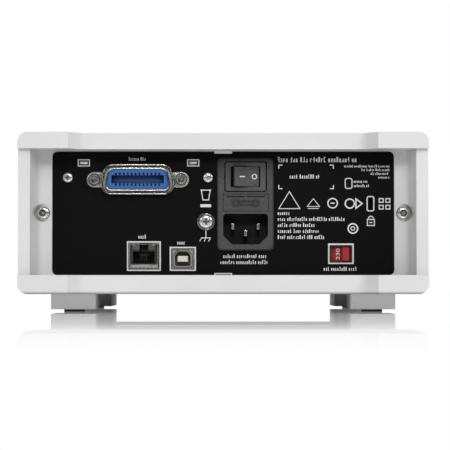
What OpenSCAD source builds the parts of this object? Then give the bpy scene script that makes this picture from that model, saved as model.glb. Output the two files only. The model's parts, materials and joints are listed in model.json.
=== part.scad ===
// Bench digital multimeter in a half-rack case with plastic end bezels.
// Frame: +Z up, the display faces -Y, the connector panel faces +Y, and the origin is on the table
// under the middle of the case. "Left" and "right" are as seen from the display side.

/* [Case] */
// Width over the front bezel
case_w = 222; // [220:1:226]
// Width over the rear bezel
rear_bezel_w = 220.6; // [218:0.2:221]
// Depth over both bezels
case_d = 280; // [276:1:300]
// Height of the housing without its feet
case_h = 87; // [86:0.5:89]
// Height of the housing's underside above the table
foot_h = 10; // [9:0.5:12]
// Thickness of the wrap-around sleeve
sleeve_t = 1.2; // [1:0.1:1.4]

/* [Rear bezel] */
// Height of the top bar
top_bar_h = 8.8; // [8:0.2:10]
// Height of the bottom bar
bottom_bar_h = 10.2; // [9:0.2:11]
// Width of each corner block that stands proud of the bars
corner_w = 27; // [24:1:30]
// How far the bars' middle is set in from the corner blocks
bar_set = 9; // [6:1:12]
// How far the side posts are set in from the corner blocks
post_set = 4; // [3:1:12]
// Depth of the recess down to the bezel's flange
recess_d = 26; // [22:1:30]

/* [Connectors] */
// Width of the mains inlet module's flange
inlet_w = 31; // [30:0.5:33]
// Height of the mains inlet module's flange
inlet_h = 51; // [50:0.5:53]
// Distance between neighbouring contacts of the interface bus connector
bus_pitch = 2.159; // [2:0.001:2.2]
// Inner radius of the input jacks' contact tubes
jack_r = 2; // [1.9:0.05:2.1]

/* [Moving parts] */
// Tilt of the power rocker at each of its two positions
rocker_tilt = 13; // [10:1:15]
// Sideways travel of the mains voltage selector
selector_travel = 5.4; // [4:0.1:5.4]
// Travel of the front keys
key_travel = 0.8; // [0.4:0.1:1]

/* [Hidden] */
$fn = 48;

// Stations along Y, from the rear forwards
rear_y = case_d / 2;
flange_t = 3;
panel_t = 1.5;
flange_y = rear_y - recess_d;
rear_face = flange_y - flange_t;
panel_in = rear_face - panel_t;
rear_shoulder = rear_face - 4;
rear_rim = rear_face - 13;
front_y = -case_d / 2;
front_recess = 6;
front_face = front_y + front_recess;
front_panel_t = 3;
front_panel_in = front_face + front_panel_t;
front_rim = front_y + 36;
front_shoulder = front_rim - 8;

// Heights
base_z = foot_h;
mid_z = foot_h + case_h / 2;
top_z = foot_h + case_h;
open_lo = base_z + bottom_bar_h;
open_hi = top_z - top_bar_h;
open_z = (open_lo + open_hi) / 2;
open_w = 187.8;
sleeve_w = rear_bezel_w - 3.6;
sleeve_h = case_h - 3.6;
sleeve_lo = mid_z - sleeve_h / 2;
tray_z = sleeve_lo + 2.8;
tray_t = 1.2;
tray_half = 103;
board_z = 22.2;
board_t = 1.6;
board_top = board_z + board_t;

// Rear panel: places are [to the right as seen from behind, height]
bezel_screw_u = 98.8;
inlet_at = [12.2, 59.3];
switch_at = [12.3, 74.3];
drawer_at = [12.4, 60.1];
socket_at = [12.3, 45.5];
bus_at = [-46.9, 72.7];
bus_screw_gap = 47.7;
bracket_screws_u = [-85.4, -8.3];
bracket_screw_z = 73.85;
bracket_tabs_u = [-76.7, -16.5];
bracket_tab_z = 82;
lan_at = [-43.6, 30.7];
usb_at = [-22.2, 29.2];
earth_at = [-9.5, 49.6];
selector_at = [64.7, 31.8];
lock_slot_at = [81, 59.5];
latch_w = 9.7;

// Front panel: places are [to the right as seen from the front, height]
window_at = [-52, 58.5];
window_size = [90, 54];
soft_key_z = 24.5;
soft_key_count = 4;
soft_key_pitch = 22.5;
function_cols = [8, 26];
function_rows = [78, 65, 52, 39];
standby_at = [8, 24.5];
jacks_high = [[60, 77], [84, 77], [84, 32]];
jacks_low = [[60, 58], [84, 58]];
fuse_cap_at = [60, 32];

function soft_key_at(i) = [window_at[0] + (i - (soft_key_count - 1) / 2) * soft_key_pitch, soft_key_z];

function function_key_at(i) = [function_cols[i % 2], function_rows[floor(i / 2)]];

function_key_names = ["key_volts_dc", "key_volts_ac", "key_amps_dc", "key_amps_ac",
                      "key_ohms", "key_continuity", "key_capacitance", "key_temperature"];

// Feet, as [centre from the middle, front end, rear end]
foot_x = 83.3;
foot_w = 25;
front_foot_w = 27;
rear_foot_y = [64, 97.4];
front_foot_y = [-101, -38];
pad_t = 1.3;
pad_w = 11;
rear_pad_y = [81, 94];
front_pad_y = [-99, -90];
rear_screw_y = rear_foot_y[0] + 8;
front_screw_y = front_foot_y[0] + 45;
leg_pivot = [-84, 5.6];
leg_slot_w = 15;
leg_len = 38;
leg_t = 4;
leg_pin_r = 1.25;

// Colours
shell_white = "#e8e8e6";
sleeve_grey = "#c9cbcc";
panel_black = "#141415";
plastic_black = "#1b1b1d";
module_grey = "#3b3c3e";
steel = "#b9bbbd";
gold = "#caa75a";
bus_blue = "#2b5fb8";
signal_red = "#a8232a";
board_green = "#1f5a3a";

// ---------------------------------------------------------------- outlines

function unit(v) = v / norm(v);

// Arc that rounds corner b between its neighbours a and c
function corner(a, b, c, r, n) =
    let (
        to_a = unit(a - b),
        to_c = unit(c - b),
        half = acos(to_a * to_c) / 2,
        centre = b + unit(to_a + to_c) * (r / sin(half)),
        first = b + to_a * (r / tan(half)) - centre,
        last = b + to_c * (r / tan(half)) - centre,
        start = atan2(first[1], first[0]),
        turn = atan2(last[1], last[0]) - start,
        sweep = turn > 180 ? turn - 360 : turn < -180 ? turn + 360 : turn
    )
    [for (i = [0:n]) centre + r * [cos(start + sweep * i / n), sin(start + sweep * i / n)]];

// Outline through points, each corner rounded with its own radius
function rounded(points, radii, n = 6) =
    let (last = len(points) - 1)
    [
        for (i = [0:last])
            each radii[i] > 0
                ? corner(points[i == 0 ? last : i - 1], points[i], points[i == last ? 0 : i + 1], radii[i], n)
                : [points[i]]
    ];

// Rectangle centred on the origin with round corners
function round_rect(w, h, r, n = 6) =
    rounded([[w, h] / 2, [-w, h] / 2, [-w, -h] / 2, [w, -h] / 2], [r, r, r, r], n);

// D-shaped connector outline, wider at the bottom
function d_outline(w, h, r) =
    let (top = w / 2 - 0.2 * h)
    rounded([[top, h / 2], [-top, h / 2], [-w / 2, -h / 2], [w / 2, -h / 2]], [r, r, r, r]);

// Mains socket outline, with its two lower corners cut off
function socket_outline(w, h, cut) =
    rounded(
        [[w, h] / 2, [-w, h] / 2, [-w / 2, cut - h / 2], [cut - w / 2, -h / 2],
         [w / 2 - cut, -h / 2], [w / 2, cut - h / 2]],
        [1.8, 1.8, 0.8, 0.8, 0.8, 0.8]
    );

// Six-lobed driver socket
function lobes(r) = [for (a = [0:7.5:352.5]) (r * (0.88 + 0.12 * cos(6 * a))) * [cos(a), sin(a)]];

// ---------------------------------------------------------------- placing

// Extrudes an outline drawn as [x, z] from y0 to y1
module slab(y0, y1) {
    translate([0, y1, 0]) rotate([90, 0, 0]) linear_extrude(y1 - y0) children();
}

// Round bar along Y
module bar(r, y0, y1) {
    translate([0, y1, 0]) rotate([90, 0, 0]) cylinder(r = r, h = y1 - y0);
}

// Ring along Y
module ring(outer, inner, y0, y1) {
    difference() {
        bar(outer, y0, y1);
        bar(inner, y0 - 1, y1 + 1);
    }
}

// Puts a part on the rear panel's outer face; its own -Y then points out of the back
module on_rear(at) {
    rotate([0, 0, 180]) translate([at[0], -rear_face, at[1]]) children();
}

// Puts a part on the front panel's outer face; its own -Y points out of the front
module on_front(at) {
    translate([at[0], front_face, at[1]]) children();
}

// Copies a part to the left and right
module both_sides() {
    children();
    mirror([1, 0, 0]) children();
}

// Screw along -Y with a domed head that sits at y = 0; drive is "star" or "cross"
module screw(head_r, head_h, shank_r, shank_l, drive) {
    rim = head_h * 0.35;
    rotate([90, 0, 0]) difference() {
        union() {
            rotate_extrude()
                polygon(concat([[0, 0], [head_r, 0]],
                    [for (a = [0:18:90]) [head_r * (0.55 + 0.45 * cos(a)), rim + (head_h - rim) * sin(a)]],
                    [[0, head_h]]));
            translate([0, 0, -shank_l]) cylinder(r = shank_r, h = shank_l);
        }
        translate([0, 0, head_h * 0.3]) linear_extrude(head_h)
            if (drive == "star") polygon(lobes(head_r * 0.52));
            else cross_outline(head_r * 0.8, head_r * 0.2);
    }
}

module cross_outline(length, width) {
    square([length, width], center = true);
    square([width, length], center = true);
}

// ---------------------------------------------------------------- case

module case_sleeve() color(sleeve_grey) difference() {
    front_end = front_shoulder + 0.3;
    rear_end = rear_shoulder - 0.3;
    translate([0, 0, mid_z]) {
        difference() {
            slab(front_end, rear_end) polygon(round_rect(sleeve_w, sleeve_h, 5));
            slab(front_end - 1, rear_end + 1)
                polygon(round_rect(sleeve_w - 2 * sleeve_t, sleeve_h - 2 * sleeve_t, 3.8));
        }
    }
    side_vents();
    bottom_vents();
    foot_screw_places() cylinder(r = 1.7, h = 20);
}

// Upright cooling slots in both side walls, in two banks
module side_vents() {
    vent_count = 11;
    vent_pitch = 5;
    for (bank = [-62, 38], i = [0:vent_count - 1])
        translate([-case_w / 2, bank + i * vent_pitch, mid_z - 17])
            cube([case_w, 2.2, 34]);
}

// Cooling slots in the floor, under the power supply and the measuring board
module bottom_vents() {
    for (side = [-1, 1], i = [0:8])
        translate([side * 32 - 22, -20 + i * 7, base_z])
            cube([44, 2.4, 5]);
}

// Corner blocks, bars and posts around the recessed connector panel
module rear_bezel() color(shell_white) {
    rear_bezel_frame();
    panel_latches();
}

// Tabs in the middle of both bars that hold the panel's edges
module panel_latches() {
    lip = 1.2;
    for (z = [open_hi - lip, open_lo - 0.1])
        on_rear([0, z]) translate([-latch_w / 2, -flange_t, 0]) cube([latch_w, flange_t - 0.4, lip + 0.1]);
}

module rear_bezel_frame() difference() {
    translate([0, 0, mid_z]) slab(rear_rim, rear_y) polygon(round_rect(rear_bezel_w, case_h, 5.5, 10));
    translate([0, 0, mid_z]) slab(rear_rim - 1, rear_shoulder)
        polygon(round_rect(sleeve_w + 0.6, sleeve_h + 0.6, 5.3));
    translate([0, 0, open_z]) {
        slab(rear_shoulder - 1, rear_face) polygon(round_rect(208.6, 77.6, 2));
        slab(rear_face - 1, flange_y + 1) polygon(round_rect(open_w, open_hi - open_lo, 2.8));
    }
    translate([0, 0, open_lo]) linear_extrude(open_hi - open_lo) {
        rear_recess_outline();
        translate([-case_w / 2, rear_y - post_set]) square([case_w, post_set + 1]);
    }
    translate([0, 0, base_z - 1]) linear_extrude(case_h + 2) bar_outline();
    for (u = [-bezel_screw_u, bezel_screw_u]) on_rear([u, open_z]) {
        bar(2.2, -flange_t - 1, 1);
        bar(4.9, -recess_d, -flange_t);
    }
}

// Plan of the space between the posts, with hollow-ground sides
module rear_recess_outline() {
    floor_half = 99.3;
    mouth_half = 103.9;
    out = rear_y + 1;
    post_y = rear_y - post_set;
    polygon(rounded(
        [[mouth_half, out], [-mouth_half, out], [-mouth_half, post_y], [-floor_half - 1.4, flange_y],
         [floor_half + 1.4, flange_y], [mouth_half, post_y]],
        [0, 0, 0.8, 5, 5, 0.8]
    ));
}

// Plan of what is cut off the bars' middle; it ramps out to the corner blocks
module bar_outline() {
    block = rear_bezel_w / 2 - corner_w;
    ramp = block - 7;
    out = rear_y + 1;
    face = rear_y - bar_set;
    polygon(rounded(
        [[block, out], [-block, out], [-block, rear_y], [-ramp, face], [ramp, face], [block, rear_y]],
        [0, 0, 4, 6, 6, 4]
    ));
}

module front_bezel() color(shell_white) difference() {
    translate([0, 0, mid_z]) slab(front_y, front_rim) polygon(round_rect(case_w, case_h, 5.5, 10));
    translate([0, 0, mid_z]) {
        slab(front_y - 1, front_face) polygon(round_rect(206, 71, 4));
        slab(front_face - 1, front_face + 12) polygon(round_rect(210.6, 75.6, 2));
        slab(front_face + 11, front_shoulder + 1) polygon(round_rect(204, 71, 4));
        slab(front_shoulder, front_rim + 1) polygon(round_rect(sleeve_w + 0.6, sleeve_h + 0.6, 5.3));
    }
    translate([0, 0, base_z - 1]) linear_extrude(case_h + 2) front_bar_outline();
}

// Plan of what is cut off the front bars' middle
module front_bar_outline() {
    block = case_w / 2 - corner_w;
    ramp = block - 7;
    out = front_y - 1;
    face = front_y + 3;
    polygon(rounded(
        [[block, out], [-block, out], [-block, front_y], [-ramp, face], [ramp, face], [block, front_y]],
        [0, 0, 3, 6, 6, 3]
    ));
}

module rear_panel() color(panel_black) {
    difference() {
        translate([0, 0, open_z]) slab(panel_in, rear_face) polygon(round_rect(208, 77, 2));
        on_rear(inlet_at) slab(-1, 3) polygon(round_rect(27.8, 47.8, 1));
        on_rear(bus_at) slab(-1, 3) polygon(d_outline(40, 15.4, 4));
        on_rear(bus_at) bus_screw_places() bar(2.4, -1, 3);
        on_rear(lan_at) slab(-1, 3) square([17.2, 14.4], center = true);
        on_usb() slab(-1, 3) square(usb_block + [0.6, 0.6], center = true);
        on_rear(selector_at) slab(-1, 3) square([12.8, 9.7], center = true);
        on_rear(lock_slot_at) slab(-1, 3) polygon(round_rect(3, 7, 0.8, 4));
        on_rear(earth_at) bar(2.2, -1, 3);
        for (u = bracket_screws_u) on_rear([u, bracket_screw_z]) bar(1.6, -1, 3);
        for (u = bracket_tabs_u) on_rear([u, bracket_tab_z]) slab(-1, 3) square([5.2, 2.5], center = true);
        for (u = [-bezel_screw_u, bezel_screw_u]) on_rear([u, open_z]) bar(1.7, -1, 3);
    }
    // lower edge folded forwards onto the tray
    fold_half = tray_half - 10;
    translate([-fold_half, panel_in - 14, tray_z + tray_t]) cube([2 * fold_half, 14, 1.2]);
}

module chassis_tray() color(steel) difference() {
    lug_w = 9;
    tray_front = front_shoulder + 6;
    tray_rear = rear_shoulder - 0.5;
    union() {
        translate([-tray_half, tray_front, tray_z]) cube([2 * tray_half, tray_rear - tray_front, tray_t]);
        both_sides() translate([tray_half - tray_t, tray_front + 8, tray_z]) cube([tray_t, 190, 22]);
        translate([-tray_half, tray_front, tray_z]) cube([2 * tray_half, tray_t, 12]);
        // upright lugs that the bezel screws bite into
        both_sides() translate([tray_half - lug_w, tray_rear - 5, tray_z])
            cube([lug_w, 5, open_z - tray_z + 6]);
        // pads that stand the tray off the sleeve's floor
        foot_screw_places() translate([0, 0, sleeve_lo + sleeve_t - 3]) cylinder(r = 4.5, h = 2);
    }
    foot_screw_places() cylinder(r = 1.6, h = 20);
    for (u = [-bezel_screw_u, bezel_screw_u]) on_rear([u, open_z]) bar(1.65, 0, 12);
    bottom_vents_above();
}

// The floor's cooling slots, carried on through the tray
module bottom_vents_above() {
    translate([0, 0, 4]) bottom_vents();
}

module bezel_screws() color(steel)
    for (u = [-bezel_screw_u, bezel_screw_u])
        on_rear([u, open_z]) translate([0, -flange_t, 0]) screw(4, 2.8, 1.6, 12, "star");

// ---------------------------------------------------------------- feet

// Where the four foot screws pass through the floor, starting under the foot's top plate
module foot_screw_places() {
    for (side = [-1, 1], y = [rear_screw_y, front_screw_y])
        translate([side * foot_x, y, 3]) children();
}

module foot_block(w, y0, y1) {
    translate([0, 0, pad_t]) linear_extrude(sleeve_lo - pad_t)
        translate([foot_x, (y0 + y1) / 2]) polygon(round_rect(w, y1 - y0, 1.2));
}

module rear_feet() color(sleeve_grey) both_sides() difference() {
    foot_block(foot_w, rear_foot_y[0], rear_foot_y[1]);
    translate([foot_x, rear_screw_y, pad_t - 1]) cylinder(r = 3.6, h = 7);
    translate([foot_x, rear_screw_y, pad_t]) cylinder(r = 1.7, h = 12);
}

// Front feet: each holds a tilt leg in a slot between its cheeks
module front_feet() color(sleeve_grey) both_sides() difference() {
    foot_block(front_foot_w, front_foot_y[0], front_foot_y[1]);
    translate([foot_x - leg_slot_w / 2, leg_pivot[0] - 4, 0])
        cube([leg_slot_w, front_foot_y[1] - leg_pivot[0] + 1, 9.4]);
    translate([foot_x, front_screw_y, 5]) cylinder(r = 1.7, h = 12);
    translate([foot_x - foot_w / 2 + 1.5, leg_pivot[0], leg_pivot[1]])
        rotate([0, 90, 0]) cylinder(r = leg_pin_r + 0.05, h = foot_w - 3);
}

// Folded flat inside its foot, on two stub pins
module tilt_leg() color(sleeve_grey) {
    half = leg_slot_w / 2 - 0.4;
    pin_half = foot_w / 2 - 2;
    translate([foot_x, leg_pivot[0], leg_pivot[1]]) {
        rotate([0, 90, 0]) translate([0, 0, -pin_half]) cylinder(r = leg_pin_r, h = 2 * pin_half);
        rotate([90, 0, 90]) translate([0, 0, -half]) linear_extrude(2 * half)
            polygon(rounded(
                [[-leg_t * 0.75, -leg_t / 2], [leg_len, -leg_t / 2], [leg_len + 2, leg_t / 2 - 0.4],
                 [-leg_t * 0.75, leg_t / 2 - 0.2]],
                [1.8, 1, 1, 1.6], 4
            ));
    }
}

module foot_pads() color(plastic_black) both_sides()
    for (y = [rear_pad_y, front_pad_y])
        translate([foot_x, (y[0] + y[1]) / 2]) linear_extrude(pad_t)
            polygon(round_rect(pad_w, y[1] - y[0], 1.5));

module foot_screws() color(steel) {
    shank_top = tray_z + tray_t;
    for (side = [-1, 1]) {
        translate([side * foot_x, rear_screw_y, pad_t + 6]) foot_screw(shank_top - pad_t - 6);
        translate([side * foot_x, front_screw_y, 9.4]) foot_screw(shank_top - 9.4);
    }
}

// Head down, shank up
module foot_screw(length) {
    cylinder(r = 1.5, h = length);
    translate([0, 0, -1.4]) difference() {
        cylinder(r = 2.9, h = 1.4);
        translate([0, 0, -1]) linear_extrude(1.8) cross_outline(3.4, 0.8);
    }
}

// ---------------------------------------------------------------- mains inlet

inlet_face = 2.2;
switch_size = [22, 15.6];
switch_hole = [16.2, 11.2];
drawer_size = [24.5, 9.1];
drawer_body = [22, 7.4];
drawer_depth = 18;
socket_size = [24.6, 16.8];
socket_depth = 17;
mains_pins = [[-7, 1.6], [7, 1.6], [0, -2.1]];

module inlet_housing() color(module_grey) on_rear([0, 0]) difference() {
    union() {
        translate([inlet_at[0], 0, inlet_at[1]]) {
            slab(-inlet_face + 0.6, 0) polygon(round_rect(inlet_w, inlet_h, 2.6));
            slab(-inlet_face, 0) polygon(round_rect(inlet_w - 1.2, inlet_h - 1.2, 2.2));
            slab(0, 24) polygon(round_rect(27.4, 47.4, 1));
        }
    }
    translate([switch_at[0], 0, switch_at[1]])
        slab(-5, 25) polygon(round_rect(switch_size[0] + 1.3, switch_size[1] + 1.1, 1.4));
    translate([drawer_at[0], 0, drawer_at[1]]) {
        slab(-5, -inlet_face + 1.6) square(drawer_size + [0.5, 0.5], center = true);
        slab(-5, drawer_depth + 1) square(drawer_body + [0.4, 0.4], center = true);
    }
    translate([socket_at[0], 0, socket_at[1]]) {
        slab(-5, socket_depth - inlet_face)
            polygon(socket_outline(socket_size[0], socket_size[1], 4.8));
        for (p = mains_pins) translate([p[0], 0, p[1]]) slab(0, 30) square([2, 4], center = true);
    }
}

module inlet_pins() color(steel) on_rear(socket_at)
    for (p = mains_pins) translate([p[0], 0, p[1]]) slab(3, 30) square([2, 4], center = true);

// Fuse carrier behind its cover plate; it pulls straight out
module fuse_drawer() color(module_grey) on_rear(drawer_at) {
    difference() {
        union() {
            slab(-inlet_face, 1.6 - inlet_face) polygon(round_rect(drawer_size[0], drawer_size[1], 0.6));
            slab(1.6 - inlet_face, drawer_depth) square(drawer_body, center = true);
        }
        for (y = fuse_rows) translate([-10.2, y, 0]) rotate([0, 90, 0]) cylinder(r = 2.7, h = 20.4);
        for (y = fuse_rows) translate([-10.2, y - 2.7, 0]) cube([20.4, 5.4, 5]);
        // finger slots along the upper edge
        for (x = [-10.4, 0.6])
            translate([x, -inlet_face - 1, drawer_size[1] / 2 - 1.7]) cube([9.8, 1.6, 0.8]);
    }
    fuse_symbol();
}

fuse_rows = [4.4, 12];

// Raised outline of a cartridge fuse
module fuse_symbol() {
    for (side = [-1, 1]) translate([side * 5.6, 0, -0.4]) slab(-inlet_face - 0.3, -inlet_face)
        difference() {
            polygon(round_rect(3.2, 3.8, 1.1, 4));
            polygon(round_rect(2.2, 2.8, 0.7, 4));
        }
    for (z = [-1.1, 1.1]) translate([0, 0, z - 0.4]) slab(-inlet_face - 0.3, -inlet_face)
        square([8, 0.5], center = true);
}

// Two 5 x 20 cartridge fuses lying across the drawer
module mains_fuses() color(steel) on_rear(drawer_at)
    for (y = fuse_rows) translate([-10, y, 0]) rotate([0, 90, 0]) {
        translate([0, 0, 5]) cylinder(r = 2.4, h = 10);
        for (z = [0, 15]) translate([0, 0, z]) cylinder(r = 2.6, h = 5);
    }

module power_switch_frame() color(plastic_black) on_rear(switch_at) difference() {
    slab(-inlet_face - 0.2, 13) polygon(round_rect(switch_size[0], switch_size[1], 1));
    slab(-5, 9.5) square(switch_hole, center = true);
    translate([0, rocker_axis, -7]) cylinder(r = rocker_pin_r + 0.05, h = 14);
}

rocker_axis = 0.6;
rocker_pin_r = 1.2;
rocker_half = 7.2;
rocker_rise = 4.1;

// Off position: the end marked with a ring is pressed in
module power_rocker() color(plastic_black) on_rear(switch_at) translate([0, rocker_axis, 0])
    rotate([0, 0, rocker_tilt]) {
        translate([0, 0, -5.3]) linear_extrude(10.6)
            polygon(rounded(
                [[-rocker_half, 4], [-rocker_half, -rocker_rise], [0, 0.5 - rocker_rise],
                 [rocker_half, -rocker_rise], [rocker_half, 4], [0, 5]],
                [0.6, 0.7, 12, 0.7, 0.6, 2]
            ));
        translate([0, 0, -6.6]) cylinder(r = rocker_pin_r, h = 13.2);
    }

// ---------------------------------------------------------------- voltage selector

selector_bump = 2.75;

module voltage_selector_housing() color(plastic_black) on_rear(selector_at) difference() {
    union() {
        slab(-0.4, 1.5) square([12.5, 9.4], center = true);
        slab(1.5, 11) square([29, 13], center = true);
    }
    slab(-2, 3) square([11.2, 8.4], center = true);
    slab(2.1, 4.9) square([26, 9.6], center = true);
}

// Red slide; one of its two voltage figures shows in the window at a time
module voltage_selector_slider() color(signal_red) on_rear(selector_at) {
    translate([selector_bump, 0, 0]) {
        slab(2.3, 4.6) square([18.3, 9], center = true);
        slab(0.1, 2.3) square([3.7, 7.6], center = true);
    }
}

// ---------------------------------------------------------------- interface bus connector

// Drawn steel shell: an outer collar, a groove, and an inner wall around the insert
module bus_shell() color(steel) on_rear(bus_at) difference() {
    union() {
        slab(-5.6, 0) polygon(d_outline(42.6, 16.5, 5.4));
        slab(-1.2, 0) square([bus_screw_gap, 8.5], center = true);
        bus_screw_places() bar(4.25, -1.2, 0);
        slab(-6, 6) polygon(d_outline(36.8, 12.8, 3.6));
    }
    difference() {
        slab(-8, -1.2) polygon(d_outline(41.2, 15.1, 4.7));
        slab(-9, 0) polygon(d_outline(36.8, 12.8, 3.6));
    }
    slab(-8, 7) polygon(d_outline(35.2, 11.2, 2.8));
    bus_screw_places() bar(1.9, -3, 1);
}

module bus_screw_places() {
    for (side = [-1, 1]) translate([side * bus_screw_gap / 2, 0, 0]) children();
}

bus_slot = [28.8, 4.6];

module bus_insert() color(bus_blue) on_rear(bus_at) difference() {
    union() {
        slab(-5.2, 5) polygon(d_outline(35, 11, 2.7));
        slab(5, 14) square([29.6, 7.6], center = true);
    }
    slab(-8, 1.5) square(bus_slot, center = true);
    bus_contact_places() translate([0, 0, 3.2]) bar(0.55, -8, -2);
    bus_contact_places() translate([0, 0, 2.3]) slab(-8, 1.5) square([1.1, 1], center = true);
}

// Twelve columns, then the same upside down
module bus_contact_places() {
    for (row = [0, 180], i = [0:11])
        rotate([0, row, 0]) translate([(i - 5.5) * bus_pitch, 0, 0]) children();
}

module bus_contacts() color(gold) on_rear(bus_at)
    bus_contact_places() translate([0, 0, 2.5]) slab(-4.4, 1.5) square([0.8, 0.4], center = true);

// Standoffs with a thread for the plug's captive screws
module bus_jackscrews() color(steel) on_rear(bus_at) bus_screw_places() difference() {
    union() {
        bar(3.7, -2.6, -1.2);
        bar(2.5, -4.8, -2.6);
        bar(1.7, -1.3, 8);
    }
    bar(1.45, -8, 3);
}

// Plate behind the panel that carries the interface board
module bus_bracket() color(steel) on_rear(bus_at) difference() {
    union() {
        slab(panel_t, panel_t + 1.2) translate([0, 1.5]) square([86, 24], center = true);
        for (u = bracket_tabs_u) translate([u - bus_at[0], 0, bracket_tab_z - bus_at[1]])
            slab(-0.1, panel_t + 1) square([3.8, 1.3], center = true);
        for (side = [-1, 1]) translate([side * 38 - 4, panel_t + 1.1, -10.1]) cube([8, 12, 1.2]);
    }
    slab(-1, 5) polygon(d_outline(40, 15.4, 4));
    bus_screw_places() bar(2.4, -1, 5);
    for (u = bracket_screws_u) translate([u - bus_at[0], 0, bracket_screw_z - bus_at[1]]) bar(1.6, -1, 5);
}

module bracket_screws() color(steel)
    for (u = bracket_screws_u) on_rear([u, bracket_screw_z]) screw(2.95, 2, 1.5, 5, "cross");

module bus_board() color(board_green) on_rear(bus_at) {
    translate([-42, 6.5, -8.9]) cube([84, 42, board_t]);
    for (x = [-24, 6]) translate([x, 24, -8.9 + board_t]) cube([14, 14, 2]);
}

// ---------------------------------------------------------------- network, device and earth terminals

lan_size = [16, 13.8];
lan_bottom = board_top - lan_at[1];

module lan_shell() color(steel) on_rear(lan_at) translate([0, 0, lan_bottom]) difference() {
    translate([-lan_size[0] / 2, -0.8, 0]) cube([lan_size[0], 21.8, lan_size[1]]);
    translate([-7.4, -2, 2.3]) cube([14.8, 22.4, lan_size[1] - 2.9]);
    translate([-2.3, -2, lan_size[1] - 2]) cube([4.6, 3.2, 3]);
}

// Plug cavity with the latch notch at the top
module lan_insert() color(plastic_black) on_rear(lan_at) translate([0, 0, lan_bottom]) difference() {
    translate([-7.3, -0.2, 2.4]) cube([14.6, 20.4, lan_size[1] - 3.1]);
    translate([-5.9, -3, 2.9]) cube([11.8, 17, 6.6]);
    translate([-2.3, -3, 9.4]) cube([4.6, 14, 5]);
}

usb_block = [12, 10.8];
usb_tongue_size = [5.8, 3.2];
usb_depth = 12;

// Square device plug's outline with its two upper corners sloped; grow moves it outwards
function usb_outline(grow) =
    rounded(
        [[2.4 + grow / 2, 4.1 + grow], [-2.4 - grow / 2, 4.1 + grow], [-4.4 - grow, 1.9 + grow / 2],
         [-4.4 - grow, -4.1 - grow], [4.4 + grow, -4.1 - grow], [4.4 + grow, 1.9 + grow / 2]],
        [1.6, 1.6, 1.6, 1.2, 1.2, 1.6], 5
    );

module on_usb() on_rear(usb_at) translate([0, 0, board_top + usb_block[1] / 2 - usb_at[1]]) children();

// Collar through the panel, and a block behind it on the board
module usb_shell() color(steel) on_usb() difference() {
    union() {
        slab(-0.8, 3) polygon(usb_outline(0.45));
        slab(0.2, 16) square(usb_block, center = true);
    }
    slab(-2, usb_depth) polygon(usb_outline(0));
}

module usb_insert() color("#4b4430") on_usb() difference() {
    slab(6.5, usb_depth - 0.1) polygon(usb_outline(-0.1));
    slab(6, usb_depth) square(usb_tongue_size + [0.2, 0.2], center = true);
}

module usb_tongue() color("ivory") on_usb() slab(1, usb_depth - 0.1) square(usb_tongue_size, center = true);

// Stud, washer and screw for a protective earth lead
module earth_terminal() color(steel) on_rear(earth_at) {
    ring(4.7, 2.1, -0.8, 0);
    translate([0, -0.8, 0]) screw(4.2, 3, 2, 8, "cross");
    ring(3.9, 2.1, panel_t, 5);
}

// ---------------------------------------------------------------- inside

standoffs = [for (x = [-24, 88], y = [-88, 4, 88]) [x, y]];

module main_board() color(board_green) difference() {
    translate([-30, -95, board_z]) cube([123, 203, board_t]);
    for (p = standoffs) translate([p[0], p[1], board_z - 1]) cylinder(r = 1.6, h = 4);
}

module board_standoffs() color(steel) for (p = standoffs) translate([p[0], p[1], tray_z + tray_t]) {
    cylinder(r = 3, h = board_z - tray_z - tray_t, $fn = 6);
    cylinder(r = 1.5, h = board_top - tray_z - tray_t + 0.1);
    translate([0, 0, board_top - tray_z - tray_t]) cylinder(r = 2.8, h = 2);
}

// Laminated core of the mains transformer, and the winding on its middle leg
core_size = [57, 25, 47.5];
core_window = [9.5, 28.5];

module on_transformer() translate([-66, 48, tray_z + tray_t]) children();

module transformer_core() color("#5b5e62") on_transformer() difference() {
    translate([-core_size[0] / 2, -core_size[1] / 2, 0]) cube(core_size);
    for (side = [-1, 1])
        translate([side * (core_size[0] / 6 + core_window[0] / 2), 0, core_size[2] / 2])
            cube([core_window[0], core_size[1] + 2, core_window[1]], center = true);
}

module transformer_windings() color("#c8a23c") on_transformer() translate([0, 0, core_size[2] / 2])
    difference() {
        cube([core_size[0] / 3 + 2 * core_window[0] - 0.2, 43, core_window[1] - 0.2], center = true);
        cube([core_size[0] / 3, core_size[1], core_window[1] + 2], center = true);
    }

module shield_can() color(steel) translate([38, -82, board_top]) difference() {
    cube([54, 62, 14]);
    translate([0.6, 0.6, -1]) cube([52.8, 60.8, 14.4]);
    for (x = [1:8], y = [1:9]) translate([6 * x, 6 * y + 1, 10]) cylinder(r = 1.2, h = 6, $fn = 16);
}

// ---------------------------------------------------------------- front

key_sizes = [14, 8];
soft_key_size = [15, 5.6];
standby_r = 4.2;
key_gap = 0.35;
jack_body_r = 6.2;

module front_panel() color("#d7d8d8") difference() {
    translate([0, 0, mid_z]) slab(front_face, front_panel_in) polygon(round_rect(210, 75, 2));
    on_front(window_at) {
        slab(-1, 1.6) polygon(round_rect(window_size[0] + 0.3, window_size[1] + 0.3, 2));
        slab(1, 4) square(window_size - [5, 5], center = true);
    }
    for (i = [0:soft_key_count - 1]) on_front(soft_key_at(i)) key_hole(soft_key_size);
    for (i = [0:len(function_key_names) - 1]) on_front(function_key_at(i)) key_hole(key_sizes);
    on_front(standby_at) bar(standby_r + key_gap, -1, 4);
    for (at = concat(jacks_high, jacks_low)) on_front(at) bar(jack_body_r + 0.1, -1, 4);
    on_front(fuse_cap_at) bar(5.6, -1, 4);
}

module key_hole(size) slab(-1, 4) polygon(round_rect(size[0] + 2 * key_gap, size[1] + 2 * key_gap, 1.2, 4));

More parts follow.
